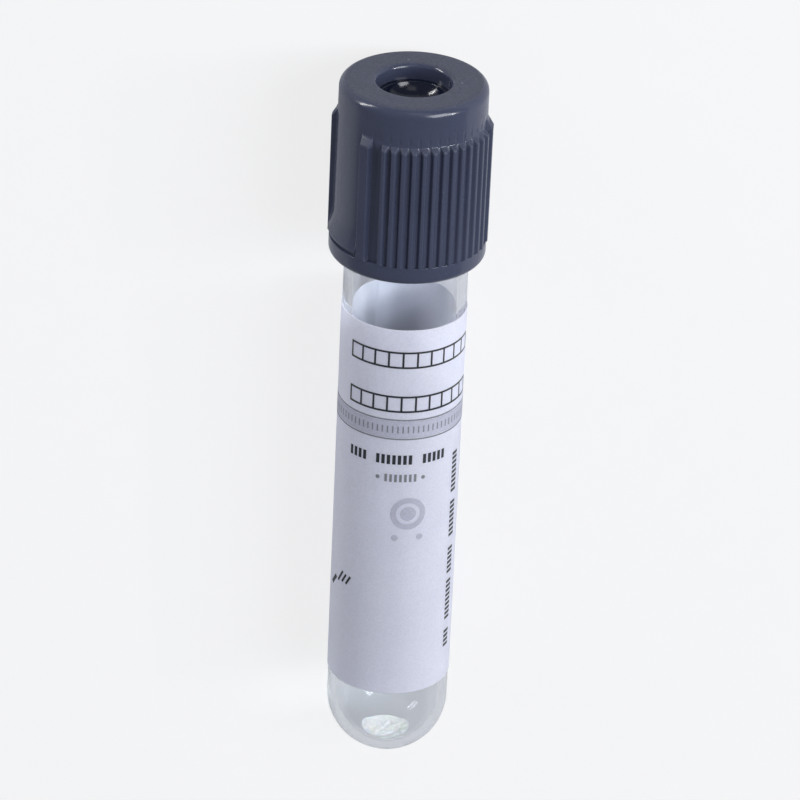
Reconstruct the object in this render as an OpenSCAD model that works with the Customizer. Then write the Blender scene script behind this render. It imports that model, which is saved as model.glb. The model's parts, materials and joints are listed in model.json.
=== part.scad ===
// Capped blood collection tube: a glass tube with a round closed end, a rubber
// stopper, a ribbed plastic safety cap, a paper wrap label and a dried additive.
// Millimetres. Each piece is drawn upright, with the tip of the closed end at
// the origin and the front facing -Y. laid() then puts the whole tube on its
// side, resting on the cap's bottom ring and on the shoulder of the closed end.

/* [Tube] */
// Outer diameter of the glass
tube_od = 13; // [11:0.5:16]
// Length from the tip of the closed end to the rim
tube_length = 75; // [70:1:110]
// Thickness of the glass
tube_wall = 1; // [0.8:0.05:1.3]
// Rounding of the two edges of the rim
rim_round = 0.35; // [0.1:0.05:0.38]

/* [Additive] */
// Depth of the dried additive in the closed end
additive_h = 0.7; // [0.4:0.1:2]

/* [Label] */
// Height of the label's lower edge above the tip of the closed end
label_low = 10; // [9.8:0.1:20]
// Length of the label along the tube
label_length = 44; // [30:1:48]
// Thickness of the paper
label_t = 0.1; // [0.06:0.01:0.11]
// Width of the cut-out window, as an angle
window_angle = 30; // [15:1:60]
// Length of the cut-out window along the tube
window_length = 20; // [8:1:24]
// Distance from the label's upper edge down to the window
window_drop = 10; // [4:0.5:16]
// Where the window's middle lies, turned to the right of the front
window_turn = 111; // [90:1:130]
// Width of the overlap that closes the wrap, as an angle
seam_angle = 14; // [6:1:20]
// Where the overlap's middle lies, turned to the right of the front
seam_turn = 220; // [210:1:240]

/* [Stopper] */
// Height of the flange that sits on the rim
flange_h = 2.8; // [2:0.1:4]
// How far the flange reaches past the glass
flange_lip = 0.4; // [0.3:0.05:0.8]
// Rounding of the flange's edges
flange_round = 0.3; // [0.1:0.05:0.5]
// Length of the plug below the rim
plug_length = 8.5; // [7:0.5:12]
// Chamfer at the plug's lower end
plug_chamfer = 0.7; // [0.3:0.1:1.2]
// Roundness of the two sealing rings
seal_round = 0.5; // [0.4:0.05:0.8]
// Distance from the rim down to the first sealing ring
seal_drop = 2.2; // [1.5:0.1:3]
// Distance between the two sealing rings
seal_pitch = 3.4; // [2:0.1:4]
// Radius of the hollow in the plug's lower end
hollow_r = 3.2; // [2:0.1:3.8]
// Depth of the hollow's straight part
hollow_h = 4.2; // [3:0.1:5]
// Depth of the hollow's domed end
hollow_dome = 1.2; // [0.6:0.1:2]
// Radius of the bowl in the stopper's top
bowl_r = 3.45; // [2.5:0.05:3.8]
// Depth of the bowl
bowl_h = 1.5; // [0.8:0.1:2]

/* [Cap] */
// Height of the cap from its open end to its flat top
cap_h = 19.5; // [17:0.5:22]
// Thickness of the cap's top
cap_top_t = 1.7; // [1.4:0.1:2.5]
// Thickness of the side wall beside the flange
cap_wall = 0.75; // [0.6:0.05:1.2]
// How much the outside widens from top to bottom
cap_draft = 0.15; // [0:0.05:0.4]
// How much the inside widens below the snap ring
skirt_draft = 0.15; // [0:0.05:0.3]
// Rounding of the top edge
cap_round = 0.9; // [0.4:0.1:1.2]
// Radius of the hole over the stopper
port_r = 3.85; // [2.8:0.05:4.2]
// Rounding of the hole's upper edge
port_round = 0.5; // [0.2:0.1:0.8]
// Height of the snap ring that holds the stopper's flange
snap_h = 0.8; // [0.5:0.1:1.5]

/* [Grip] */
// Width of each of the two ribbed panels, as an angle
panel_angle = 130; // [124:1:150]
// Number of narrow ribs on a panel
rib_count = 13; // [5:2:13]
// Angle from one narrow rib to the next
rib_pitch = 7.5; // [6:0.25:7.75]
// Width of a narrow rib
rib_w = 0.58; // [0.5:0.02:0.66]
// Width of the broad rib at each side of a panel
broad_rib_w = 1.25; // [0.8:0.05:1.5]
// How far the ribs stand out at the bottom
rib_h = 0.5; // [0.35:0.05:0.7]
// Rounding of the ribs' outer edges
rib_round = 0.22; // [0.1:0.01:0.24]
// Distance from the cap's top down to where the ribs begin
shoulder_drop = 3.3; // [2:0.1:5]
// Height of the slope at the top of the ribs
shoulder_h = 1.2; // [0.8:0.1:2]
// Height of the plain ring at the open end
ring_h = 2; // [1.4:0.1:3]
// Rounding of the ring's lower edge
ring_round = 0.6; // [0.2:0.1:0.9]
// Height of the undercut between the ring and a smooth panel
undercut_h = 0.5; // [0.3:0.05:0.8]
// Height of the flare at the bottom of a smooth panel
flare_h = 4; // [2:0.5:6]
// Turn of the cap: the first ribbed panel's middle, to the right of the front
cap_turn = 25; // [-90:5:90]

/* [Clearances] */
// Between the sealing rings and the glass
seal_gap = 0.02; // [0.01:0.01:0.05]
// Between the plug's waist and the glass
plug_gap = 0.2; // [0.1:0.05:0.4]
// Between the stopper's flange and the cap
flange_gap = 0.05; // [0.02:0.01:0.1]
// Between the snap ring and the glass
snap_gap = 0.12; // [0.08:0.01:0.2]

/* [Hidden] */
$fn = 96;

// How far a cut runs past the face it opens, and a rib past the wall it joins
overcut = 1;
rib_sink = 0.35;
// How much the rib tips stay inside the ring, so that their faces don't meet
tip_inset = 0.04;

// Glass
tube_r = tube_od / 2;
bore_r = tube_r - tube_wall;
rim_z = tube_length;

// Label
label_r = tube_r + label_t;
label_high = label_low + label_length;

// Stopper
flange_r = tube_r + flange_lip;
flange_top = rim_z + flange_h;
plug_low = rim_z - plug_length;
waist_r = bore_r - plug_gap;
seal_r = bore_r - seal_gap;

// Cap
pocket_r = flange_r + flange_gap;
skirt_r = pocket_r + skirt_draft;
snap_r = tube_r + snap_gap;
snap_top = rim_z - flange_gap;
cap_top = flange_top + cap_top_t;
cap_low = cap_top - cap_h;
body_r = pocket_r + cap_wall;
body_low_r = body_r + cap_draft;
grip_r = body_low_r + rib_h;
tip_r = grip_r - tip_inset;
ring_top = cap_low + ring_h;
flare_low = ring_top + undercut_h;
shoulder_top = cap_top - shoulder_drop;
// Half the angle that a broad rib takes up
broad_half = asin(broad_rib_w / 2 / tip_r);
smooth_angle = 180 - panel_angle;

// How the tube lies: the ring's rounded edge and the shoulder of the closed end
// touch one level floor, so the axis rises towards the cap by this angle
touch_run = cap_low + ring_round - tube_r;
touch_rise = grip_r - ring_round;
lie_angle = atan2(touch_rise, touch_run)
    - asin((tube_r - ring_round) / norm([touch_run, touch_rise]));
// Distances of the tip and of the cap's top from the origin's upright plane
reach_low = tube_r * (cos(lie_angle) - 1);
reach_high = (cap_top - cap_round) * cos(lie_angle) + (body_r - cap_round) * sin(lie_angle) + cap_round;
lie_shift = -(reach_low + reach_high) / 2;
lie_lift = tube_r * (1 - sin(lie_angle));

// Radius of the sphere whose cap has the radius r and the height h
function dome_r(r, h) = (r * r + h * h) / (2 * h);

module laid() {
    translate([0, lie_shift, lie_lift])
        rotate([lie_angle - 90, 0, 0])
            children();
}

// Turns what points along +X to an angle to the right of the front
module turned(angle) {
    rotate([0, 0, angle - 90])
        children();
}

// ---- tube ----

// Half section of a round-ended solid with its tip at z = low
module test_tube_section(r, low, high) {
    translate([0, low + r])
        intersection() {
            circle(r = r);
            translate([0, -r])
                square([r, r]);
        }
    translate([0, low + r])
        square([r, high - low - r]);
}

module rim_section() {
    translate([bore_r, rim_z - tube_wall])
        square([tube_wall, tube_wall - rim_round]);
    translate([bore_r + rim_round, rim_z - tube_wall])
        square([tube_wall - 2 * rim_round, tube_wall]);
    for (r = [bore_r + rim_round, tube_r - rim_round])
        translate([r, rim_z - rim_round])
            circle(r = rim_round);
}

module tube() {
    color([0.86, 0.91, 0.92, 0.4])
        laid()
            rotate_extrude() {
                difference() {
                    test_tube_section(tube_r, 0, rim_z - tube_wall);
                    test_tube_section(bore_r, tube_wall, rim_z);
                }
                rim_section();
            }
}

// ---- additive ----

module additive() {
    color([0.93, 0.93, 0.9])
        laid()
            rotate_extrude()
                intersection() {
                    test_tube_section(bore_r, tube_wall, rim_z);
                    translate([0, tube_wall])
                        square([bore_r, additive_h]);
                }
}

// ---- label ----

// Plan of a wedge that reaches past the label, its middle along +X
module wedge_plan(angle) {
    reach = tube_od;
    half = angle / 2;
    polygon([
        [0, 0],
        [reach * cos(half), -reach * sin(half)],
        [reach / cos(half), 0],
        [reach * cos(half), reach * sin(half)]
    ]);
}

// The wrap seen along the tube, with a second layer where its ends overlap
module wrap_plan() {
    difference() {
        union() {
            circle(r = label_r);
            intersection() {
                circle(r = label_r + label_t);
                turned(seam_turn)
                    wedge_plan(seam_angle);
            }
        }
        circle(r = tube_r);
    }
}

module label() {
    color([0.93, 0.94, 0.96])
        laid()
            difference() {
                translate([0, 0, label_low])
                    linear_extrude(label_length)
                        wrap_plan();
                translate([0, 0, label_high - window_drop - window_length])
                    linear_extrude(window_length)
                        turned(window_turn)
                            wedge_plan(window_angle);
            }
}

// ---- stopper ----

module flange_section() {
    translate([0, rim_z])
        square([flange_r - flange_round, flange_h]);
    translate([0, rim_z + flange_round])
        square([flange_r, flange_h - 2 * flange_round]);
    for (z = [rim_z + flange_round, flange_top - flange_round])
        translate([flange_r - flange_round, z])
            circle(r = flange_round);
}

module plug_section() {
    polygon([
        [0, plug_low],
        [waist_r - plug_chamfer, plug_low],
        [waist_r, plug_low + plug_chamfer],
        [waist_r, rim_z + flange_round],
        [0, rim_z + flange_round]
    ]);
    for (drop = [seal_drop, seal_drop + seal_pitch])
        translate([seal_r - seal_round, rim_z - drop])
            circle(r = seal_round);
}

// The bowl in the top, and the hollow in the plug with its domed end
module stopper_hollows() {
    bowl_sphere = dome_r(bowl_r, bowl_h);
    dome_sphere = dome_r(hollow_r, hollow_dome);
    translate([0, 0, flange_top - bowl_h + bowl_sphere])
        sphere(r = bowl_sphere);
    translate([0, 0, plug_low - overcut])
        cylinder(r = hollow_r, h = hollow_h + overcut);
    translate([0, 0, plug_low + hollow_h])
        intersection() {
            translate([0, 0, hollow_dome - dome_sphere])
                sphere(r = dome_sphere);
            cylinder(r = hollow_r, h = hollow_dome);
        }
}

module stopper() {
    color([0.09, 0.1, 0.15])
        laid()
            difference() {
                rotate_extrude() {
                    flange_section();
                    plug_section();
                }
                stopper_hollows();
            }
}

// ---- cap ----

// The cap's outside without its grip
module cap_body_section() {
    polygon([
        [0, cap_low + ring_round],
        [body_low_r, cap_low + ring_round],
        [body_r, cap_top - cap_round],
        [0, cap_top - cap_round]
    ]);
    translate([0, cap_top - cap_round])
        square([body_r - cap_round, cap_round]);
    translate([body_r - cap_round, cap_top - cap_round])
        circle(r = cap_round);
}

// The plain ring at the open end
module ring_section() {
    translate([0, cap_low + ring_round])
        square([grip_r, ring_h - ring_round]);
    translate([0, cap_low])
        square([grip_r - ring_round, ring_h]);
    translate([grip_r - ring_round, cap_low + ring_round])
        circle(r = ring_round);
}

// The pocket round the flange, the snap ring below it and the drafted skirt
module cap_hollow_section() {
    polygon([
        [0, cap_low - overcut],
        [skirt_r, cap_low - overcut],
        [skirt_r, cap_low],
        [pocket_r, snap_top - 2 * snap_h],
        [snap_r, snap_top - snap_h],
        [snap_r, snap_top],
        [pocket_r, snap_top],
        [pocket_r, flange_top],
        [0, flange_top]
    ]);
}

// The hole over the stopper, with its rounded upper edge
module port_section() {
    square_low = flange_top - overcut;
    translate([0, square_low])
        square([port_r, cap_top + overcut - square_low]);
    difference() {
        translate([0, cap_top - port_round])
            square([port_r + port_round, port_round + overcut]);
        translate([port_r + port_round, cap_top - port_round])
            circle(r = port_round);
    }
}

// Plan of one rib that points along +X
module rib_plan(width) {
    root_r = body_r - rib_sink;
    translate([root_r, -width / 2])
        square([tip_r - rib_round - root_r, width]);
    translate([root_r, rib_round - width / 2])
        square([tip_r - root_r, width - 2 * rib_round]);
    for (side = [-1, 1])
        translate([tip_r - rib_round, side * (width / 2 - rib_round)])
            circle(r = rib_round, $fn = 24);
}

// Plan of a ribbed panel whose middle points along +X
module panel_plan() {
    for (i = [0 : rib_count - 1])
        rotate((i - (rib_count - 1) / 2) * rib_pitch)
            rib_plan(rib_w);
    for (side = [-1, 1])
        rotate(side * (panel_angle / 2 - broad_half))
            rib_plan(broad_rib_w);
}

// Everything that the ribs may fill, with the slope at their tops
module rib_room() {
    root_r = body_r - rib_sink;
    rotate_extrude()
        polygon([
            [root_r - overcut, ring_top - undercut_h],
            [grip_r, ring_top - undercut_h],
            [grip_r, shoulder_top - shoulder_h],
            [body_r, shoulder_top],
            [root_r, shoulder_top],
            [root_r - overcut, shoulder_top - overcut]
        ]);
}

module ribs() {
    intersection() {
        rib_room();
        translate([0, 0, cap_low])
            linear_extrude(cap_h)
                for (turn = [0, 180])
                    rotate(turn)
                        panel_plan();
    }
}

// The flare of one smooth panel, whose middle points along +X
module flare() {
    rise = grip_r - body_r;
    curve_r = dome_r(flare_h, rise);
    rotate([0, 0, -smooth_angle / 2])
        rotate_extrude(angle = smooth_angle)
            difference() {
                translate([body_r - rib_sink, flare_low])
                    square([rise + rib_sink, flare_h]);
                translate([body_r + curve_r, flare_low + flare_h])
                    circle(r = curve_r, $fn = 360);
            }
}

module cap() {
    color([0.24, 0.27, 0.36])
        laid()
            turned(cap_turn)
                difference() {
                    union() {
                        rotate_extrude() {
                            cap_body_section();
                            ring_section();
                        }
                        ribs();
                        for (turn = [90, 270])
                            rotate([0, 0, turn])
                                flare();
                    }
                    rotate_extrude()
                        cap_hollow_section();
                    rotate_extrude()
                        port_section();
                }
}

tube();
additive();
label();
stopper();
cap();
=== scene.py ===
import bmesh
import bpy
import json
import math
from mathutils import Matrix, Vector, noise


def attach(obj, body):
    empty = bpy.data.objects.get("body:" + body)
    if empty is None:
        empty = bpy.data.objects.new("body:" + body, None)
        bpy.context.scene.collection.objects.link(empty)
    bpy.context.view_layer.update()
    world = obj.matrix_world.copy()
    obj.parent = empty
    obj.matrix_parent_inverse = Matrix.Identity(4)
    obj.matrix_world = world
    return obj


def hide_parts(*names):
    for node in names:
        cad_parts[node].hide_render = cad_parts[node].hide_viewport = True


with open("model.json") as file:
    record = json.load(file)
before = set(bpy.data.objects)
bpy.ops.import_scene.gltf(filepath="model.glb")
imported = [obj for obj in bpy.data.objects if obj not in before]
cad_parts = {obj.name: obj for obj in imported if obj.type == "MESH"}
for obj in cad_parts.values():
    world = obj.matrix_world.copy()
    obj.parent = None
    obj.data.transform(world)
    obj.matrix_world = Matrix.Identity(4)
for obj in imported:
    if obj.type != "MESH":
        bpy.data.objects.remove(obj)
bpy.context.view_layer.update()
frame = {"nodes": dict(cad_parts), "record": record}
print("frame loaded:", ", ".join(sorted(frame["nodes"])))

# The tube's own frame, in mm: tip of the closed end at the origin, cap up, front towards -Y.
# layDown puts what is made there on its side, along the line of the needle port.
portHeight = 78.4  # of the needle port above the tip
needlePort = next(m for m in frame["record"]["mounts"] if m["name"] == "needle_port")
tubeAxis = Vector(needlePort["axis"]).normalized()
tubeTip = Vector(needlePort["pos_m"]) - tubeAxis * (portHeight / 1000)
layDown = (Matrix.Translation(tubeTip)
           @ Matrix.Rotation(math.asin(tubeAxis.z) - math.pi / 2, 4, "X")
           @ Matrix.Scale(0.001, 4))
frontWay = (layDown.to_3x3() @ Vector((0, -1, 0))).normalized()


def smoothStep(low, high, value):
    t = min(max((value - low) / (high - low), 0), 1)
    return t * t * (3 - 2 * t)


def arc(midR, midA, radius, fromDeg, toDeg, steps):
    # Points (radius, height) round a middle, 0 degrees pointing outwards and 90 up
    turn = [math.radians(fromDeg + (toDeg - fromDeg) * i / steps) for i in range(steps + 1)]
    return [(midR + radius * math.cos(t), midA + radius * math.sin(t)) for t in turn]


def spunShape(profile, steps, closed=False):
    # A profile of (radius, height) points turned full circle round the tube's own axis
    bm = bmesh.new()
    verts = [bm.verts.new((r, 0, a)) for r, a in profile]
    ring = verts + verts[:1] if closed else verts
    edges = [bm.edges.new(pair) for pair in zip(ring, ring[1:])]
    bmesh.ops.spin(bm, geom=verts + edges, cent=(0, 0, 0), axis=(0, 0, 1),
                   angle=math.tau, steps=steps, use_merge=True)
    bmesh.ops.remove_doubles(bm, verts=bm.verts, dist=1e-5)
    bmesh.ops.recalc_face_normals(bm, faces=bm.faces)
    return bm


def meshObject(bm, name, materials):
    mesh = bpy.data.meshes.new(name)
    bm.to_mesh(mesh)
    bm.free()
    for material in materials:
        mesh.materials.append(material)
    made = bpy.data.objects.new(name, mesh)
    bpy.context.scene.collection.objects.link(made)
    return made


def finish(bm, name, body, node, materials, sharpDeg=45, crisp=()):
    # Lays the shape down, makes its object and hangs it on its body
    bmesh.ops.transform(bm, matrix=layDown, verts=bm.verts)
    piece = meshObject(bm, name, materials)
    mesh = piece.data
    mesh.shade_smooth()
    mesh.set_sharp_from_angle(angle=math.radians(sharpDeg))
    for i in crisp:
        mesh.edges[i].use_edge_sharp = True
    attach(piece, body)
    if node:
        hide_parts(node)
    print("made", name, len(mesh.polygons), "faces")


def newMaterial(name):
    material = bpy.data.materials.new(name)
    material.use_nodes = True
    tree = material.node_tree
    return material, tree, tree.nodes["Principled BSDF"]


def put(tree, kind, inputs=None, **settings):
    node = tree.nodes.new(kind)
    for key, value in settings.items():
        setattr(node, key, value)
    for key, value in (inputs or {}).items():
        if isinstance(value, bpy.types.NodeSocket):
            tree.links.new(value, node.inputs[key])
        else:
            node.inputs[key].default_value = value
    return node


def calc(tree, operation, *values):
    return put(tree, "ShaderNodeMath", dict(enumerate(values)), operation=operation).outputs[0]


def remap(tree, value, fromMin=0.0, fromMax=1.0, toMin=0.0, toMax=1.0):
    return put(tree, "ShaderNodeMapRange", {"Value": value, "From Min": fromMin, "From Max": fromMax,
                                            "To Min": toMin, "To Max": toMax}).outputs[0]


def blend(tree, share, colour, other):
    return put(tree, "ShaderNodeMix", {0: share, 6: colour, 7: other}, data_type="RGBA").outputs[2]


def bumped(tree, shader, height, distance):
    bump = put(tree, "ShaderNodeBump", {"Height": height, "Distance": distance, "Strength": 1.0})
    tree.links.new(bump.outputs["Normal"], shader.inputs["Normal"])


def groupSockets(name, inputs, outputs):
    group = bpy.data.node_groups.new(name, "ShaderNodeTree")
    for label, kind, value in inputs:
        socket = group.interface.new_socket(name=label, in_out="INPUT", socket_type=kind)
        socket.default_value = value
    for label, kind in outputs:
        group.interface.new_socket(name=label, in_out="OUTPUT", socket_type=kind)
    return group, group.nodes.new("NodeGroupInput"), group.nodes.new("NodeGroupOutput")


grainValues = {"fineDetail": 3.0, "cloudSize": 190.0, "speckSize": 0.42, "speckShare": 0.14,
               "speckColour": (0.75, 0.77, 0.84, 1)}


def makeGrainGroup():
    # Fine grain of a moulded or milled surface, with slow clouding and small bright specks
    v = grainValues
    group, given, out = groupSockets(
        "surfaceGrain",
        [("Color", "NodeSocketColor", (0.5, 0.5, 0.5, 1)), ("GrainSize", "NodeSocketFloat", 5000.0),
         ("Shade", "NodeSocketFloat", 0.1), ("Clouding", "NodeSocketFloat", 0.1),
         ("Specks", "NodeSocketFloat", 0.0), ("Roughness", "NodeSocketFloat", 0.4),
         ("RoughnessSpread", "NodeSocketFloat", 0.08)],
        [("Color", "NodeSocketColor"), ("Roughness", "NodeSocketFloat"), ("Height", "NodeSocketFloat")])
    size = given.outputs["GrainSize"]
    where = put(group, "ShaderNodeTexCoord").outputs["Object"]
    grain = put(group, "ShaderNodeTexNoise",
                {"Vector": where, "Scale": size, "Detail": v["fineDetail"], "Roughness": 0.6})
    cloud = put(group, "ShaderNodeTexNoise", {"Vector": where, "Scale": v["cloudSize"], "Detail": 4.0})
    speck = put(group, "ShaderNodeTexVoronoi",
                {"Vector": where, "Scale": calc(group, "MULTIPLY", size, v["speckSize"])})
    # only a few of the cells hold a speck
    chance = put(group, "ShaderNodeSeparateColor", {"Color": speck.outputs["Color"]}).outputs[0]
    speckMask = remap(group, speck.outputs["Distance"], fromMin=0.16, fromMax=0.05)
    chosen = calc(group, "GREATER_THAN", chance, 1 - v["speckShare"])
    speckMask = calc(group, "MULTIPLY", speckMask, chosen)
    speckMask = calc(group, "MULTIPLY", speckMask, given.outputs["Specks"])
    fine, slow = (calc(group, "ADD", texture.outputs["Fac"], -0.5) for texture in (grain, cloud))
    shade = calc(group, "MULTIPLY", fine, given.outputs["Shade"])
    shade = calc(group, "MULTIPLY_ADD", slow, given.outputs["Clouding"], shade)
    gain = calc(group, "MULTIPLY_ADD", shade, 2.0, 1.0)
    toned = put(group, "ShaderNodeVectorMath", {0: given.outputs["Color"], "Scale": gain},
                operation="SCALE").outputs[0]
    rough = calc(group, "MULTIPLY_ADD", slow, given.outputs["RoughnessSpread"],
                 given.outputs["Roughness"])
    group.links.new(blend(group, speckMask, toned, v["speckColour"]), out.inputs["Color"])
    group.links.new(rough, out.inputs["Roughness"])
    group.links.new(grain.outputs["Fac"], out.inputs["Height"])
    return group


grainGroup = makeGrainGroup()


def layGrain(tree, shader, **values):
    # The surface grain gives the shader its colour and roughness, and hands back its height
    grain = put(tree, "ShaderNodeGroup", values, node_tree=grainGroup)
    tree.links.new(grain.outputs["Color"], shader.inputs["Base Color"])
    tree.links.new(grain.outputs["Roughness"], shader.inputs["Roughness"])
    return grain.outputs["Height"]


# Heights are above the tip of the closed end, other lengths are radii or widths, all in mm
capValues = {
    "low": 60.0, "top": 79.5, "crownRound": 0.9, "wallFrom": 60.6, "wallLow": 7.85, "wallTop": 7.70,
    "hole": 3.85, "holeRound": 0.5, "seat": 77.8, "pocket": 6.95, "bead": 6.62,
    "ring": 8.18, "ringTop": 62.0, "ringRound": 0.7, "ringEdge": 0.08,
    "skin": 7.8, "skinFrom": 7.55, "gripTop": 77.0, "grip": 8.35, "tip": 8.33,
    # two ribbed panels, each with narrow ribs between two broad ones, turned from the front
    "turnDeg": 25.0, "panelDeg": 130.0, "panelEdgeDeg": 0.4, "ribs": 13, "pitchDeg": 7.5,
    "ribWidth": 0.58, "broadWidth": 1.25, "ribEdge": 0.15, "gapLift": 0.16,
    "slopeLow": 75.0, "narrowSlope": 0.43, "broadSlope": 0.95, "crispDeg": 18.0,
    "relief": 0.05, "reliefHigh": 76.0, "reliefReach": 0.45,
    # two smooth panels that flare down to a slot
    "flareHigh": 66.5, "slotTop": 62.5, "slotEdge": 0.06,
    "slotRows": (62.0, 62.25, 62.5, 62.53, 62.62),
    "flareRows": (62.85, 63.2, 63.6, 64.1, 64.6, 65.1, 65.6, 66.1, 66.6, 67.4, 71.0),
    "slopeRows": (74.4, 74.9, 75.0, 75.08, 75.16, 75.25, 75.34, 75.43, 75.5, 75.64, 75.8, 75.95,
                  76.05, 76.15, 76.3, 76.6),
    "steps": 1080,
}
capFinish = {
    "side": (0.047, 0.054, 0.090, 1), "top": (0.053, 0.058, 0.087, 1),
    # each pair is for the polished side and for the flat top
    "roughness": (0.2, 0.5), "specks": (0.03, 0.4), "shade": (0.10, 0.75), "depth": (0.25, 1.0),
    "endRoughness": 0.55, "endHigh": 75.25, "endReach": 0.4, "endFade": 0.15,
    "proudFrom": 7.74, "proudFade": 0.05, "grain": 3400.0, "relief": 0.000012,
}


def tubeCoordinates(tree):
    # Height above the tip of the closed end and distance from the tube's own axis, both in mm
    where = put(tree, "ShaderNodeTexCoord").outputs["Object"]
    fromTip = put(tree, "ShaderNodeVectorMath", {0: where, 1: tubeTip}, operation="SUBTRACT").outputs[0]
    along = put(tree, "ShaderNodeVectorMath", {0: fromTip, 1: tubeAxis * 1000}, operation="DOT_PRODUCT")
    across = put(tree, "ShaderNodeVectorMath", {0: fromTip, 1: tubeAxis * 1000},
                 operation="CROSS_PRODUCT").outputs[0]
    radius = put(tree, "ShaderNodeVectorMath", {0: across}, operation="LENGTH")
    return along.outputs["Value"], radius.outputs["Value"]


def capPlastic():
    v = capFinish
    material, tree, shader = newMaterial("capPlastic")
    height, radius = tubeCoordinates(tree)
    # The flat top is spark-eroded: paler and duller than the polished sides
    onTop = remap(tree, height, fromMin=capValues["top"] - 0.10, fromMax=capValues["top"] - 0.04)
    rough, specks, shade, depth = (remap(tree, onTop, toMin=v[part][0], toMax=v[part][1])
                                   for part in ("roughness", "specks", "shade", "depth"))
    # The slopes at the ribs' ends are duller too, where they stand proud of the wall
    fromEnds = calc(tree, "ABSOLUTE", calc(tree, "SUBTRACT", height, v["endHigh"]))
    endRough = remap(tree, fromEnds, fromMin=v["endReach"] + v["endFade"], fromMax=v["endReach"],
                     toMax=v["endRoughness"])
    proud = remap(tree, radius, fromMin=v["proudFrom"], fromMax=v["proudFrom"] + v["proudFade"])
    rough = calc(tree, "MAXIMUM", rough, calc(tree, "MULTIPLY", endRough, proud))
    grain = layGrain(tree, shader, Color=blend(tree, onTop, v["side"], v["top"]), GrainSize=v["grain"],
                     Shade=shade, Clouding=0.12, Specks=specks, Roughness=rough, RoughnessSpread=0.10)
    bumped(tree, shader, calc(tree, "MULTIPLY", grain, depth), v["relief"])
    shader.inputs["IOR"].default_value = 1.5
    shader.inputs["Specular IOR Level"].default_value = 0.46
    return material


def ribCover(turnDeg):
    # How far narrow ribs and broad ribs cover this turn of the cap, from 0 to 1,
    # and whether it lies between narrow ribs
    v = capValues
    turn = (turnDeg - v["turnDeg"] + 90) % 180 - 90
    broadMid = v["panelDeg"] / 2 - math.degrees(math.asin(v["broadWidth"] / 2 / v["tip"]))
    nearest = round(turn / v["pitchDeg"]) * v["pitchDeg"]
    reach = (v["ribs"] - 1) / 2 * v["pitchDeg"]
    among = smoothStep(-v["panelEdgeDeg"], v["panelEdgeDeg"], reach - abs(turn))
    covers = []
    for middle, width in ((nearest, v["ribWidth"]), (math.copysign(broadMid, turn), v["broadWidth"])):
        off = abs(v["tip"] * math.sin(math.radians(turn - middle)))
        covers.append(smoothStep(-v["ribEdge"], v["ribEdge"], width / 2 - off))
    return covers[0] if abs(nearest) < reach + 0.1 else 0.0, covers[1], among


def flareCover(turnDeg):
    # 1 on the two smooth panels, 0 on the ribbed ones
    v = capValues
    turn = (turnDeg - v["turnDeg"]) % 180 - 90
    half = 90 - v["panelDeg"] / 2
    return smoothStep(-v["panelEdgeDeg"], v["panelEdgeDeg"], half - abs(turn))


def shapeGrip(bm):
    # Moves the skin of the cap's side out to its ribs, flares and slot
    v = capValues
    flareOut = v["grip"] - v["wallTop"]
    curve = (flareOut ** 2 + (v["flareHigh"] - v["slotTop"]) ** 2) / (2 * flareOut)
    wallHigh = v["top"] - v["crownRound"] - v["wallFrom"]
    covers = {}
    for vert in bm.verts:
        x, y, a = vert.co
        r = math.hypot(x, y)
        if r < v["skinFrom"] or a < v["ringTop"] - 0.005 or a > v["gripTop"]:
            continue
        turn = round(math.degrees(math.atan2(x, -y)), 2)
        if turn not in covers:
            covers[turn] = (*ribCover(turn), flareCover(turn))
        narrow, broad, among, flare = covers[turn]
        wall = v["wallLow"] + (v["wallTop"] - v["wallLow"]) * (a - v["wallFrom"]) / wallHigh
        ends = []
        for slope in (v["narrowSlope"], v["broadSlope"]):
            fallen = min(max((a - v["slopeLow"]) / slope, 0), 1)
            ends.append(v["tip"] + (wall - v["tip"]) * fallen)
        smooth = wall
        if a > v["slotTop"] + 0.01:
            fall = max(v["flareHigh"] - a, 0)
            outer = v["wallTop"] + curve - math.sqrt(curve * curve - fall * fall)
            smooth = wall + max(outer - wall, 0) * flare
            if a < v["slotTop"] + v["slotEdge"]:
                smooth -= v["slotEdge"] * flare
        # the gaps between the ribs are a little shallower than the smooth panels
        smooth += v["gapLift"] * among * smoothStep(v["slopeLow"] + v["narrowSlope"], v["slopeLow"], a)
        # a shallow line where the ribs run out
        offLine = (a - v["reliefHigh"]) / v["reliefReach"]
        smooth -= v["relief"] * (1 - flare) * max(0, 1 - offLine ** 2)
        high = v["tip"] - smooth
        new = max(smooth, min(smooth + high * narrow, ends[0]), min(smooth + high * broad, ends[1]))
        vert.co.x = x / r * new
        vert.co.y = y / r * new


def ribEndEdges(bm):
    # The edges that stay crisp where the ribs run out into the collar
    v = capValues
    low = v["slopeLow"] - 0.01
    high = v["slopeLow"] + v["broadSlope"] + 0.01
    bm.edges.index_update()
    return [edge.index for edge in bm.edges
            if all(low < vert.co.z < high for vert in edge.verts)
            and edge.calc_face_angle(0) > math.radians(v["crispDeg"])]


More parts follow.
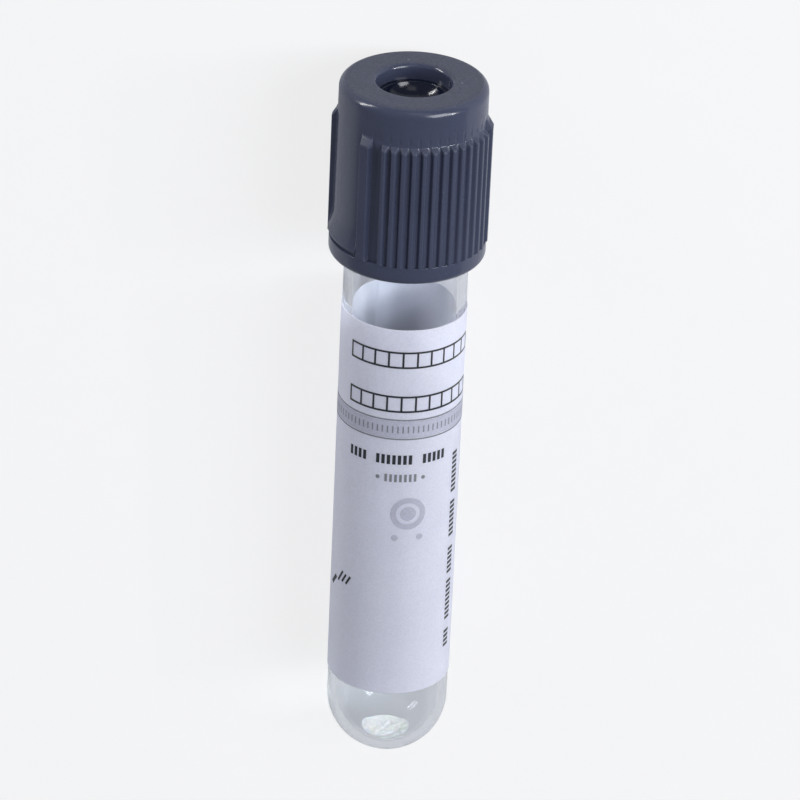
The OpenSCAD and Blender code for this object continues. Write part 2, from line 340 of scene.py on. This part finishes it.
def makeCap(material):
    v = capValues
    low, top, ring, ringTop, pocket = (v[name] for name in ("low", "top", "ring", "ringTop", "pocket"))
    outer = arc(ring - v["ringRound"], low + v["ringRound"], v["ringRound"], -90, 0, 8)
    outer += [(ring, low + 1.3), (ring, ringTop - 0.14)]
    outer += arc(ring - v["ringEdge"], ringTop - v["ringEdge"], v["ringEdge"], 0, 80, 3)
    outer += [(v["skin"], a) for a in v["slotRows"] + v["flareRows"] + v["slopeRows"]]
    outer += [(7.71, 77.3), (7.706, 77.8), (7.702, 78.3)]
    crown = arc(v["wallTop"] - v["crownRound"], top - v["crownRound"], v["crownRound"], 0, 90, 9)
    crown += [(6.2, top), (5.5, top - 0.01), (4.9, top)]
    hole = arc(v["hole"] + v["holeRound"], top - v["holeRound"], v["holeRound"], 90, 180, 6)
    hole += [(v["hole"], 78.4), (v["hole"] + 0.02, v["seat"])]
    # under the top, down the pocket round the flange, over the bead that holds it, and down the skirt
    inner = [(5.4, v["seat"]), (6.85, v["seat"]), (pocket, 77.7), (pocket, 76.4), (pocket, 74.95),
             (6.68, 74.94), (v["bead"], 74.88), (v["bead"], 74.2), (pocket, 73.35),
             (7.0, 69.0), (7.05, 64.0), (7.09, low + 0.4), (7.16, low + 0.06), (7.3, low)]
    bm = spunShape(outer + crown + hole + inner, v["steps"], closed=True)
    shapeGrip(bm)
    finish(bm, "capShell", "cap", "cap", [material], sharpDeg=60, crisp=ribEndEdges(bm))


glassValues = {"outer": 6.5, "inner": 5.5, "high": 75.0, "rimRound": 0.35, "steps": 256,
               "rings": (14, 24, 34, 44, 54, 64, 71), "tint": (0.875, 0.885, 0.90, 1),
               "shadowTint": (0.93, 0.95, 0.95, 1), "haze": 0.05, "wave": 0.00003}


def clearGlass():
    v = glassValues
    material, tree, shader = newMaterial("clearGlass")
    shader.inputs["Transmission Weight"].default_value = 1.0
    shader.inputs["IOR"].default_value = 1.5
    shader.inputs["Base Color"].default_value = v["tint"]
    # Drawn glass: faint waves along the wall, and a haze of handling that dulls it in patches
    where = put(tree, "ShaderNodeTexCoord").outputs["Object"]
    stretched = put(tree, "ShaderNodeMapping", {"Vector": where, "Scale": (1, 0.12, 1)})
    wave = put(tree, "ShaderNodeTexNoise",
               {"Vector": stretched.outputs[0], "Scale": 320.0, "Detail": 1.0})
    haze = put(tree, "ShaderNodeTexNoise", {"Vector": where, "Scale": 420.0, "Detail": 5.0})
    dull = remap(tree, haze.outputs["Fac"], fromMin=0.5, fromMax=0.8, toMax=v["haze"])
    tree.links.new(dull, shader.inputs["Roughness"])
    bumped(tree, shader, wave.outputs["Fac"], v["wave"])
    # light from the lamps passes through, so that the inside of the tube isn't dark
    path = put(tree, "ShaderNodeLightPath")
    clear = put(tree, "ShaderNodeBsdfTransparent", {"Color": v["shadowTint"]})
    lit = put(tree, "ShaderNodeMixShader", {0: path.outputs["Is Shadow Ray"], 1: shader.outputs[0],
                                            2: clear.outputs[0]})
    tree.links.new(lit.outputs[0], tree.nodes["Material Output"].inputs["Surface"])
    return material


def makeGlass(material):
    v = glassValues
    outer, inner, rim = v["outer"], v["inner"], v["rimRound"]
    profile = arc(0, outer, outer, -90, 0, 26) + [(outer, a) for a in v["rings"]]
    profile += arc(outer - rim, v["high"] - rim, rim, 0, 90, 6)
    profile += arc(inner + rim, v["high"] - rim, rim, 90, 180, 6)
    profile += [(inner, a) for a in reversed(v["rings"])] + arc(0, outer, inner, 0, -90, 26)
    finish(spunShape(profile, v["steps"]), "glassTube", "tube", "tube", [material])


stopperValues = {"flange": 6.9, "flangeTop": 77.8, "flangeLow": 75.0, "flangeRound": 0.3,
                 "bowl": 3.42, "bowlLip": 0.08, "bowlLow": 76.28, "bowlFloor": 1.25, "bowlRound": 2.2,
                 "plug": 5.3, "plugLow": 66.5, "seals": (72.8, 69.4), "sealMiddle": 4.98,
                 "sealRound": 0.5, "hollow": 3.2, "hollowHigh": 70.7, "hollowDome": 1.2,
                 "steps": 240, "colour": (0.006, 0.009, 0.024, 1)}


def stopperRubber():
    material, tree, shader = newMaterial("stopperRubber")
    grain = layGrain(tree, shader, Color=stopperValues["colour"], GrainSize=6000.0, Shade=0.25,
                     Clouding=0.3, Specks=0.02, Roughness=0.12, RoughnessSpread=0.08)
    bumped(tree, shader, grain, 0.000010)
    shader.inputs["IOR"].default_value = 1.52
    shader.inputs["Specular IOR Level"].default_value = 0.4
    return material


def makeStopper(material):
    v = stopperValues
    flangeMid = v["flange"] - v["flangeRound"]
    plug, low, hollow, lip = v["plug"], v["plugLow"], v["hollow"], v["bowlLip"]
    # from the bowl's floor up to its lip and over the flange
    profile = [(0, v["bowlLow"])]
    profile += arc(v["bowlFloor"], v["bowlLow"] + 0.02 + v["bowlRound"], v["bowlRound"], -90, -20, 14)
    profile += arc(v["bowl"], v["flangeTop"] - lip, lip, 160, 90, 3)
    profile += arc(flangeMid, v["flangeTop"] - v["flangeRound"], v["flangeRound"], 90, 0, 5)
    profile += arc(flangeMid, v["flangeLow"] + v["flangeRound"], v["flangeRound"], 0, -90, 5)
    # down the plug with its two seals, round its end and up the hollow
    profile += [(plug + 0.12, v["flangeLow"]), (plug, v["flangeLow"] - 0.15)]
    for middle in v["seals"]:
        profile += [(plug, middle + 0.62)]
        profile += arc(v["sealMiddle"], middle, v["sealRound"], 52, -52, 8)
        profile += [(plug, middle - 0.62)]
    profile += [(plug, low + 0.8), (plug - 0.06, low + 0.62), (plug - 0.62, low + 0.06),
                (plug - 0.8, low), (hollow + 0.1, low), (hollow, low + 0.1), (hollow, low + 2.1),
                (hollow, v["hollowHigh"])]
    dome = (hollow ** 2 + v["hollowDome"] ** 2) / (2 * v["hollowDome"])
    domeEdge = math.degrees(math.asin(hollow / dome))
    profile += arc(0, v["hollowHigh"] + v["hollowDome"] - dome, dome, 90 - domeEdge, 90, 10)[1:]
    finish(spunShape(profile, v["steps"]), "stopperPlug", "stopper", "stopper",
           [material])


additiveValues = {"radius": 5.48, "edgeDeg": 30.0, "thick": 0.5, "edgeThick": 0.03, "lump": 0.16,
                  "lumpSize": 1.6, "steps": 120, "dark": (0.84, 0.845, 0.83, 1),
                  "pale": (0.95, 0.95, 0.93, 1)}


def driedSalts():
    v = additiveValues
    material, tree, shader = newMaterial("driedSalts")
    where = put(tree, "ShaderNodeTexCoord").outputs["Object"]
    flakes = put(tree, "ShaderNodeTexVoronoi", {"Vector": where, "Scale": 2600.0}).outputs["Distance"]
    powder = put(tree, "ShaderNodeTexNoise",
                 {"Vector": where, "Scale": 5200.0, "Detail": 4.0}).outputs["Fac"]
    tree.links.new(blend(tree, powder, v["dark"], v["pale"]), shader.inputs["Base Color"])
    tree.links.new(remap(tree, flakes, toMin=0.35, toMax=0.9), shader.inputs["Roughness"])
    bumped(tree, shader, calc(tree, "ADD", powder, flakes), 0.00008)
    shader.inputs["Subsurface Weight"].default_value = 0.2
    shader.inputs["Subsurface Scale"].default_value = 0.0006
    return material


def makeAdditive(material):
    # A dried crust that follows the round bottom and thins out up its side
    v = additiveValues
    middle = glassValues["outer"]
    under = arc(0, middle, v["radius"], -90, -90 + v["edgeDeg"], 22)
    edge = under[-1][0]
    over = [(r * 0.985, a + v["edgeThick"] + v["thick"] * (1 - (r / edge) ** 2))
            for r, a in reversed(under[:-1])]
    bm = spunShape(under + over, v["steps"])
    for vert in bm.verts:
        x, y, a = vert.co
        r = math.hypot(x, y)
        wall = middle - math.sqrt(v["radius"] ** 2 - r * r)
        if a > wall + 0.02:
            lump = noise.fractal(Vector((x, y, a)) * v["lumpSize"], 0.8, 2.0, 4)
            vert.co.z = max(wall + 0.025, a + v["lump"] * lump)
    finish(bm, "additiveCrust", "tube", "additive", [material])


# Turns are to the right of the front. The label is drawn flat, true to length at drawnRadius.
labelValues = {"low": 10.0, "high": 54.0, "inside": 6.504, "thick": 0.094, "drawnRadius": 6.6,
               "seamTurnDeg": 220.0, "seamDeg": 14.0, "seamLift": 0.1, "windowTurnDeg": 111.0,
               "windowDeg": 30.0, "windowHigh": 44.0, "windowLow": 24.0, "windowRound": 1.0,
               "cornerCuts": 6, "paper": (0.73, 0.73, 0.93, 1)}


def labelPaper():
    material, tree, shader = newMaterial("labelPaper")
    where = put(tree, "ShaderNodeTexCoord").outputs["Object"]
    stretched = put(tree, "ShaderNodeMapping", {"Vector": where, "Scale": (1, 0.35, 1)})
    fibres = put(tree, "ShaderNodeTexNoise", {"Vector": stretched.outputs[0], "Scale": 5200.0,
                                              "Detail": 4.0, "Roughness": 0.65})
    grain = layGrain(tree, shader, Color=labelValues["paper"], GrainSize=4200.0, Shade=0.13,
                     Clouding=0.05, Specks=0.12, Roughness=0.42, RoughnessSpread=0.12)
    bumped(tree, shader, calc(tree, "ADD", fibres.outputs["Fac"], grain), 0.000008)
    # thin paper glows a little from the far side
    shader.inputs["Subsurface Weight"].default_value = 0.9
    shader.inputs["Subsurface Radius"].default_value = (1, 1, 1)
    shader.inputs["Subsurface Scale"].default_value = 0.0004
    return material


def drawnLength(turnDeg):
    return math.radians(turnDeg) * labelValues["drawnRadius"]


def cutAcross(bm, place, way):
    bmesh.ops.bisect_plane(bm, geom=bm.verts[:] + bm.edges[:] + bm.faces[:], plane_co=place,
                           plane_no=way, dist=1e-6)


def wrapRound(bm, radius, thick, liftAt=None):
    # Thickens a flat drawing and bends it round the glass, its x to the right and its y up the tube
    grown = bmesh.ops.extrude_face_region(bm, geom=bm.faces[:], use_keep_orig=True)
    raised = [g for g in grown["geom"] if isinstance(g, bmesh.types.BMVert)]
    bmesh.ops.translate(bm, verts=raised, vec=(0, 0, thick))
    for vert in bm.verts:
        x, y, z = vert.co
        turn = x / labelValues["drawnRadius"]
        r = radius + z + (liftAt(math.degrees(turn)) if liftAt else 0)
        vert.co = Vector((r * math.sin(turn), -r * math.cos(turn), y))
    bmesh.ops.recalc_face_normals(bm, faces=bm.faces)


def seamLift(turnDeg):
    # The upper end of the wrap climbs onto its lower end
    v = labelValues
    begin = v["seamTurnDeg"] - v["seamDeg"] / 2
    return v["seamLift"] * smoothStep(begin - 3.5, begin - 0.4, turnDeg)


def roundCorner(bm, middle, wayX, wayY):
    # Cuts the faces outside a corner's middle along a many-sided quarter circle
    v = labelValues
    corner = v["windowRound"]
    halfStep = 45 / v["cornerCuts"]
    near = [f for f in bm.faces
            if 0 < (f.calc_center_median().x - middle.x) * wayX < corner
            and 0 < (f.calc_center_median().y - middle.y) * wayY < corner]
    for i in range(v["cornerCuts"]):
        turn = math.radians(halfStep + 2 * halfStep * i)
        out = Vector((wayX * math.cos(turn), wayY * math.sin(turn), 0))
        geom = list({e for f in near for e in (*f.verts, *f.edges)}) + near
        cut = bmesh.ops.bisect_plane(bm, geom=geom, plane_no=out, dist=1e-6,
                                     plane_co=middle + out * corner * math.cos(math.radians(halfStep)))
        near = [g for g in cut["geom"] if isinstance(g, bmesh.types.BMFace)]


def cutWindow(bm):
    v = labelValues
    left, right = (drawnLength(v["windowTurnDeg"] + side * v["windowDeg"] / 2) for side in (-1, 1))
    low, high, corner = v["windowLow"], v["windowHigh"], v["windowRound"]
    for x in (left, left + corner, right - corner, right):
        cutAcross(bm, (x, 0, 0), (1, 0, 0))
    for y in (low, low + corner, high - corner, high):
        cutAcross(bm, (0, y, 0), (0, 1, 0))
    for x, wayX in ((left + corner, -1), (right - corner, 1)):
        for y, wayY in ((low + corner, -1), (high - corner, 1)):
            roundCorner(bm, Vector((x, y, 0)), wayX, wayY)
    inside = []
    for face in bm.faces:
        x, y, _ = face.calc_center_median()
        deepX = min(x - left, right - x)
        deepY = min(y - low, high - y)
        outX, outY = max(corner - deepX, 0), max(corner - deepY, 0)
        if deepX > 0 and deepY > 0 and math.hypot(outX, outY) < corner:
            inside.append(face)
    bmesh.ops.delete(bm, geom=inside, context="FACES")


def makeLabel(material):
    v = labelValues
    start = drawnLength(v["seamTurnDeg"] - v["seamDeg"] / 2 - 360)
    end = drawnLength(v["seamTurnDeg"] + v["seamDeg"] / 2)
    bm = bmesh.new()
    bmesh.ops.create_grid(bm, x_segments=240, y_segments=8, size=0.5,
                          matrix=Matrix.Translation(((start + end) / 2, (v["low"] + v["high"]) / 2, 0))
                          @ Matrix.Diagonal((end - start, v["high"] - v["low"], 1, 1)))
    cutWindow(bm)
    bmesh.ops.remove_doubles(bm, verts=bm.verts, dist=1e-4)
    wrapRound(bm, v["inside"], v["thick"], seamLift)
    finish(bm, "labelWrap", "tube", "label", [material])


# The label's print is plain bars, boxes and dots. Places are to the right of the front and
# down from the label's upper edge, and a run is its place and its number of ticks.
printValues = {
    "radius": 6.600, "thick": 0.009, "bendStep": 0.36, "bendFrom": -13, "bendTo": 15,
    "stroke": 0.22, "boxDowns": (3.5, 8.7), "boxLeft": -5.9, "boxes": 10, "boxWide": 1.52,
    "boxHigh": 1.95, "bandMiddle": 0.2, "bandDown": 11.7, "bandWide": 21.2, "bandHigh": 1.9,
    "bandEdges": (10.57, 12.83), "bandLine": 0.16, "bandTicks": 38,
    "blackDown": 15.3, "blackRuns": ((-4.5, 4), (-0.35, 7), (4.1, 5)),
    "greyMiddle": 0.42, "greyDown": 17.5, "greyTicks": 7, "greyDot": 0.22, "greyDotApart": 2.45,
    "fieldMiddle": 1.4, "fieldDown": 21.8, "fieldRings": ((1.9, 1.3), (0.85, 0)),
    "dotsDown": 24.7, "dot": 0.36, "dotApart": 1.35,
    "columnMiddle": 7.6, "columnRuns": ((18.4, 9), (24.1, 8), (29.2, 6), (34.1, 9), (38.9, 4)),
    # place, width, height and lean of each mark at the fill height
    "fillMarks": ((-7.9, 32.4, 0.44, 1.7, -38), (-6.5, 31.3, 0.26, 1.7, -30),
                  (-5.85, 31.3, 0.26, 1.3, -30), (-5.2, 31.3, 0.26, 1.3, -30)),
}
# Colour of each ink and how cloudy it is
inkValues = {"black": ((0.022, 0.023, 0.032, 1), 0.3), "grey": ((0.21, 0.215, 0.24, 1), 0.15),
             "pale": ((0.44, 0.44, 0.52, 1), 0.12)}
# Step, width, height and ink of each kind of tick
tickValues = {"band": (0.55, 0.17, 0.8, "grey"), "black": (0.58, 0.36, 1.1, "black"),
              "grey": (0.52, 0.28, 0.9, "grey"), "column": (0.56, 0.34, 1.05, "black")}


def labelInk(ink):
    colour, clouding = inkValues[ink]
    material, tree, shader = newMaterial("ink" + ink.capitalize())
    grain = layGrain(tree, shader, Color=colour, GrainSize=5200.0, Shade=0.3, Clouding=clouding,
                     Specks=0.25, Roughness=0.5, RoughnessSpread=0.2)
    bumped(tree, shader, grain, 0.000004)
    return material


def inked(made, ink):
    faces = list({f for vert in made["verts"] for f in vert.link_faces})
    for face in faces:
        face.material_index = list(inkValues).index(ink)
    return faces


def bar(bm, x, down, width, height, ink, leanDeg=0.0):
    middle = Matrix.Translation((x, labelValues["high"] - down, 0))
    lean = Matrix.Rotation(math.radians(leanDeg), 4, "Z")
    shape = middle @ lean @ Matrix.Diagonal((width, height, 1, 1))
    inked(bmesh.ops.create_grid(bm, x_segments=1, y_segments=1, size=0.5, matrix=shape), ink)


def disc(bm, x, down, radius, ink, hole=0):
    middle = Matrix.Translation((x, labelValues["high"] - down, 0))
    made = bmesh.ops.create_circle(bm, cap_ends=True, segments=40, radius=radius, matrix=middle)
    faces = inked(made, ink)
    if hole:
        bmesh.ops.inset_individual(bm, faces=faces, thickness=radius - hole, use_even_offset=True)
        bmesh.ops.delete(bm, geom=faces, context="FACES")


def entryBoxes(bm, down):
    # A row of joined empty boxes, as on a form
    v = printValues
    length, stroke = v["boxes"] * v["boxWide"], v["stroke"]
    for side in (-1, 1):
        edgeDown = down + side * (v["boxHigh"] - stroke) / 2
        bar(bm, v["boxLeft"] + length / 2, edgeDown, length + stroke, stroke, "black")
    for i in range(v["boxes"] + 1):
        bar(bm, v["boxLeft"] + i * v["boxWide"], down, stroke, v["boxHigh"] - 2 * stroke, "black")


def ticks(bm, kind, x, down, count, upright=False):
    # A run of equal short strokes, across the label or along the tube
    step, width, height, ink = tickValues[kind]
    for i in range(count):
        off = (i - (count - 1) / 2) * step
        if upright:
            bar(bm, x, down + off, height, width, ink)
        else:
            bar(bm, x + off, down, width, height, ink)


def makePrint(materials):
    v = printValues
    bm = bmesh.new()
    for down in v["boxDowns"]:
        entryBoxes(bm, down)
    # grey band with fine edge lines and a faint row of ticks
    bar(bm, v["bandMiddle"], v["bandDown"], v["bandWide"], v["bandHigh"], "pale")
    for down in v["bandEdges"]:
        bar(bm, v["bandMiddle"], down, v["bandWide"], v["bandLine"], "grey")
    ticks(bm, "band", v["bandMiddle"], v["bandDown"], v["bandTicks"])
    for x, count in v["blackRuns"]:
        ticks(bm, "black", x, v["blackDown"], count)
    ticks(bm, "grey", v["greyMiddle"], v["greyDown"], v["greyTicks"])
    for side in (-1, 1):
        disc(bm, v["greyMiddle"] + side * v["greyDotApart"], v["greyDown"], v["greyDot"], "grey")
    # a plain round field with two small dots under it
    for radius, hole in v["fieldRings"]:
        disc(bm, v["fieldMiddle"], v["fieldDown"], radius, "pale", hole)
    for side in (-1, 1):
        disc(bm, v["fieldMiddle"] + side * v["dotApart"], v["dotsDown"], v["dot"], "pale")
    # a column of ticks along the tube, in runs
    for down, count in v["columnRuns"]:
        ticks(bm, "column", v["columnMiddle"], down, count, upright=True)
    for x, down, width, height, leanDeg in v["fillMarks"]:
        bar(bm, x, down, width, height, "black", leanDeg)
    # cuts along the tube, so that the drawing can bend
    for i in range(round(v["bendFrom"] / v["bendStep"]), round(v["bendTo"] / v["bendStep"])):
        cutAcross(bm, (i * v["bendStep"], 0, 0), (1, 0, 0))
    wrapRound(bm, v["radius"], v["thick"])
    finish(bm, "labelPrint", "tube", None, materials, sharpDeg=30)


# Metres, and the share of white that the camera, mirrors and glass see in place of the floor's colour
floorValues = {"size": 3.0, "colour": (0.60, 0.61, 0.64, 1), "mottle": (0.66, 0.665, 0.69, 1),
               "seen": 0.8, "mirrored": 0.2, "through": 0.28}


def makeFloor():
    v = floorValues
    material, tree, shader = newMaterial("paleFloor")
    tree.nodes.remove(shader)
    where = put(tree, "ShaderNodeTexCoord").outputs["Object"]
    mottle = put(tree, "ShaderNodeTexNoise", {"Vector": where, "Scale": 260.0, "Detail": 3.0})
    tone = blend(tree, mottle.outputs["Fac"], v["colour"], v["mottle"])
    matt = put(tree, "ShaderNodeBsdfDiffuse", {"Color": tone})
    white = put(tree, "ShaderNodeEmission", {"Color": (1, 1, 1, 1), "Strength": 1.0})
    path = put(tree, "ShaderNodeLightPath")
    share = 0.0
    for ray, part in (("Is Camera Ray", "seen"), ("Is Glossy Ray", "mirrored"),
                      ("Is Transmission Ray", "through")):
        share = calc(tree, "MAXIMUM", share, calc(tree, "MULTIPLY", path.outputs[ray], v[part]))
    both = put(tree, "ShaderNodeMixShader", {0: share, 1: matt.outputs[0], 2: white.outputs[0]})
    tree.links.new(both.outputs[0], tree.nodes["Material Output"].inputs["Surface"])
    bm = bmesh.new()
    bmesh.ops.create_grid(bm, x_segments=1, y_segments=1, size=v["size"] / 2)
    meshObject(bm, "floor", [material])


# Each lamp's place and size in metres, its watts and its colour
lightValues = {
    "leftBank": ((-0.52, 0.38, 0.055), (0.38, 0.04), 1.8, (1.0, 0.99, 1.0)),
    "overhead": ((0.10, 0.60, 0.50), (0.36, 0.30), 0.25, (1.0, 0.99, 0.98)),
    "key": ((0.40, 0.20, 0.47), (0.34, 0.34), 3.2, (0.92, 0.95, 1.0)),
    "rightSpot": ((0.52, 0.13, 0.30), (0.09, 0.03), 0.85, (1.0, 1.0, 1.0)),
}
lampAim = Vector((0, 0.03, 0.012))
worldValues = {"colour": (0.82, 0.87, 1.0, 1), "strength": 0.28}


def makeLights():
    for name, (where, size, watts, colour) in lightValues.items():
        lamp = bpy.data.lights.new(name, "AREA")
        lamp.shape = "RECTANGLE"
        lamp.size, lamp.size_y = size
        lamp.energy = watts
        lamp.color = colour
        stand = bpy.data.objects.new(name, lamp)
        stand.location = where
        stand.rotation_euler = (lampAim - Vector(where)).to_track_quat("-Z", "Y").to_euler()
        bpy.context.scene.collection.objects.link(stand)
    world = bpy.data.worlds.new("studio")
    world.use_nodes = True
    back = world.node_tree.nodes["Background"]
    back.inputs["Color"].default_value = worldValues["colour"]
    back.inputs["Strength"].default_value = worldValues["strength"]
    bpy.context.scene.world = world


# The camera's angle to the tube's axis, its distance in metres, its lens and roll, and the height
# in mm on the tube that it looks at
cameraValues = {"towardsCapDeg": 61.6, "distance": 0.544, "lens": 232.0, "rollDeg": 2.6, "lookAt": 42.3}


def makeCamera():
    v = cameraValues
    lean = math.radians(v["towardsCapDeg"])
    towards = tubeAxis * math.cos(lean) + frontWay * math.sin(lean)
    up = (tubeAxis - towards * tubeAxis.dot(towards)).normalized()
    pose = Matrix((up.cross(towards), up, towards)).transposed().to_4x4()
    pose = pose @ Matrix.Rotation(math.radians(v["rollDeg"]), 4, "Z")
    pose.translation = tubeTip + tubeAxis * v["lookAt"] / 1000 + towards * v["distance"]
    lens = bpy.data.cameras.new("camera")
    lens.lens = v["lens"]
    lens.clip_start = 0.01
    camera = bpy.data.objects.new("camera", lens)
    camera.matrix_world = pose
    bpy.context.scene.collection.objects.link(camera)
    bpy.context.scene.camera = camera


makeCamera()
makeLights()
makeFloor()
print("camera, lights and floor ready")

makeGlass(clearGlass())
makeAdditive(driedSalts())
makeLabel(labelPaper())
makePrint([labelInk(ink) for ink in inkValues])
makeStopper(stopperRubber())
makeCap(capPlastic())

bpy.context.scene.view_settings.view_transform = "Standard"
